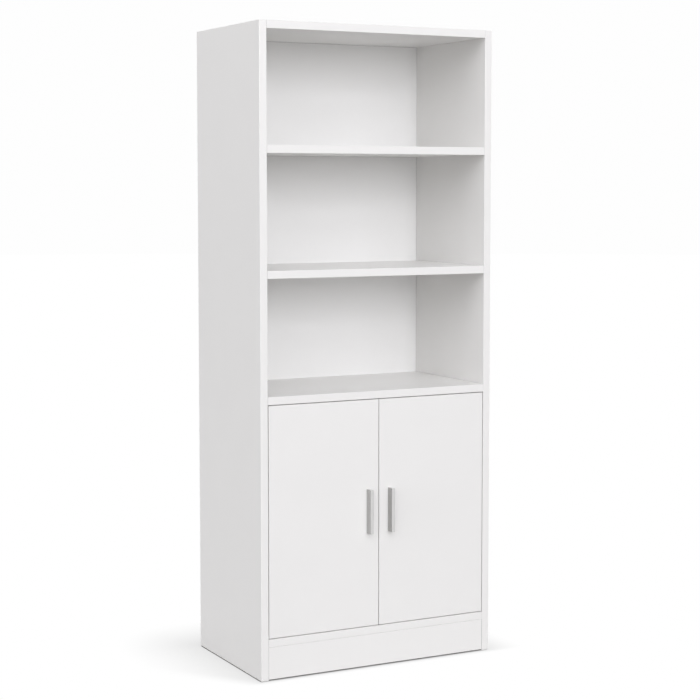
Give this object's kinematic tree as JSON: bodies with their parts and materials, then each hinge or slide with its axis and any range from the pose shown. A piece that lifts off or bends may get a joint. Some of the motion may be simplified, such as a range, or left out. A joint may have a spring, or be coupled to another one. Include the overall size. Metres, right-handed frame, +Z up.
{
  "type": "bookcase",
  "caption": "Tall bookcase with open bays above a cabinet closed by a pair of hinged doors, each with an upright bar handle.",
  "frame": {"origin": "on the floor, in the middle of the footprint that the whole bookcase takes, handles included", "axes": "+X to the right as seen by a person in front of the doors, +Y from the doors to the back, +Z up along the longest extent"},
  "size_m": [0.73, 0.454, 1.8],
  "materials": {
    "white_board": "satin white melamine face on chipboard, white edge banding",
    "door_board": "satin white melamine face on chipboard, white edge banding",
    "white_hardboard": "white front, bare brown rear",
    "grey_plastic": "satin grey",
    "white_plastic": "satin white",
    "glide_plastic": "dull grey",
    "beech": "bare wood",
    "zinc": "dull cast zinc",
    "zinc_steel": "zinc-plated",
    "nickel_steel": "nickel-plated",
    "magnet": "dark grey"
  },
  "bodies": {
    "case": {"back_panel": "white_hardboard", "back_panel_screws": "zinc_steel", "bottom_panel": "white_board", "cabinet_top_shelf": "white_board", "cam_bolts": "zinc_steel", "cam_cover_caps": "white_plastic", "cam_locks": "zinc", "catch_housing": "white_plastic", "catch_magnets": "magnet", "catch_screws": "zinc_steel", "floor_glides": "glide_plastic", "hinge_arm_screws": "zinc_steel", "inner_shelf": "white_board", "left_lower_hinge_arm": "nickel_steel", "left_lower_mounting_plate": "nickel_steel", "left_side_panel": "white_board", "left_upper_hinge_arm": "nickel_steel", "left_upper_mounting_plate": "nickel_steel", "middle_shelf": "white_board", "mounting_plate_screws": "zinc_steel", "plinth": "white_board", "right_lower_hinge_arm": "nickel_steel", "right_lower_mounting_plate": "nickel_steel", "right_side_panel": "white_board", "right_upper_hinge_arm": "nickel_steel", "right_upper_mounting_plate": "nickel_steel", "shelf_pins": "zinc_steel", "top_panel": "white_board", "upper_shelf": "white_board", "wooden_dowels": "beech"},
    "left_door_leaf": {"left_cup_screws": "zinc_steel", "left_door": "door_board", "left_handle": "grey_plastic", "left_handle_screws": "zinc_steel", "left_lower_hinge_cup": "nickel_steel", "left_lower_hinge_pin": "nickel_steel", "left_strike_plate": "nickel_steel", "left_strike_screw": "zinc_steel", "left_upper_hinge_cup": "nickel_steel", "left_upper_hinge_pin": "nickel_steel"},
    "right_door_leaf": {"right_cup_screws": "zinc_steel", "right_door": "door_board", "right_handle": "grey_plastic", "right_handle_screws": "zinc_steel", "right_lower_hinge_cup": "nickel_steel", "right_lower_hinge_pin": "nickel_steel", "right_strike_plate": "nickel_steel", "right_strike_screw": "zinc_steel", "right_upper_hinge_cup": "nickel_steel", "right_upper_hinge_pin": "nickel_steel"}
  },
  "joints": [
    {"name": "left_door_hinge", "type": "hinge", "parent": "case", "child": "left_door_leaf", "pos_m": [-0.325, -0.1955, 0.4405], "axis": [0, 0, -1], "range_deg": [0, 100]},
    {"name": "right_door_hinge", "type": "hinge", "parent": "case", "child": "right_door_leaf", "pos_m": [0.325, -0.1955, 0.4405], "axis": [0, 0, 1], "range_deg": [0, 100]}
  ]
}
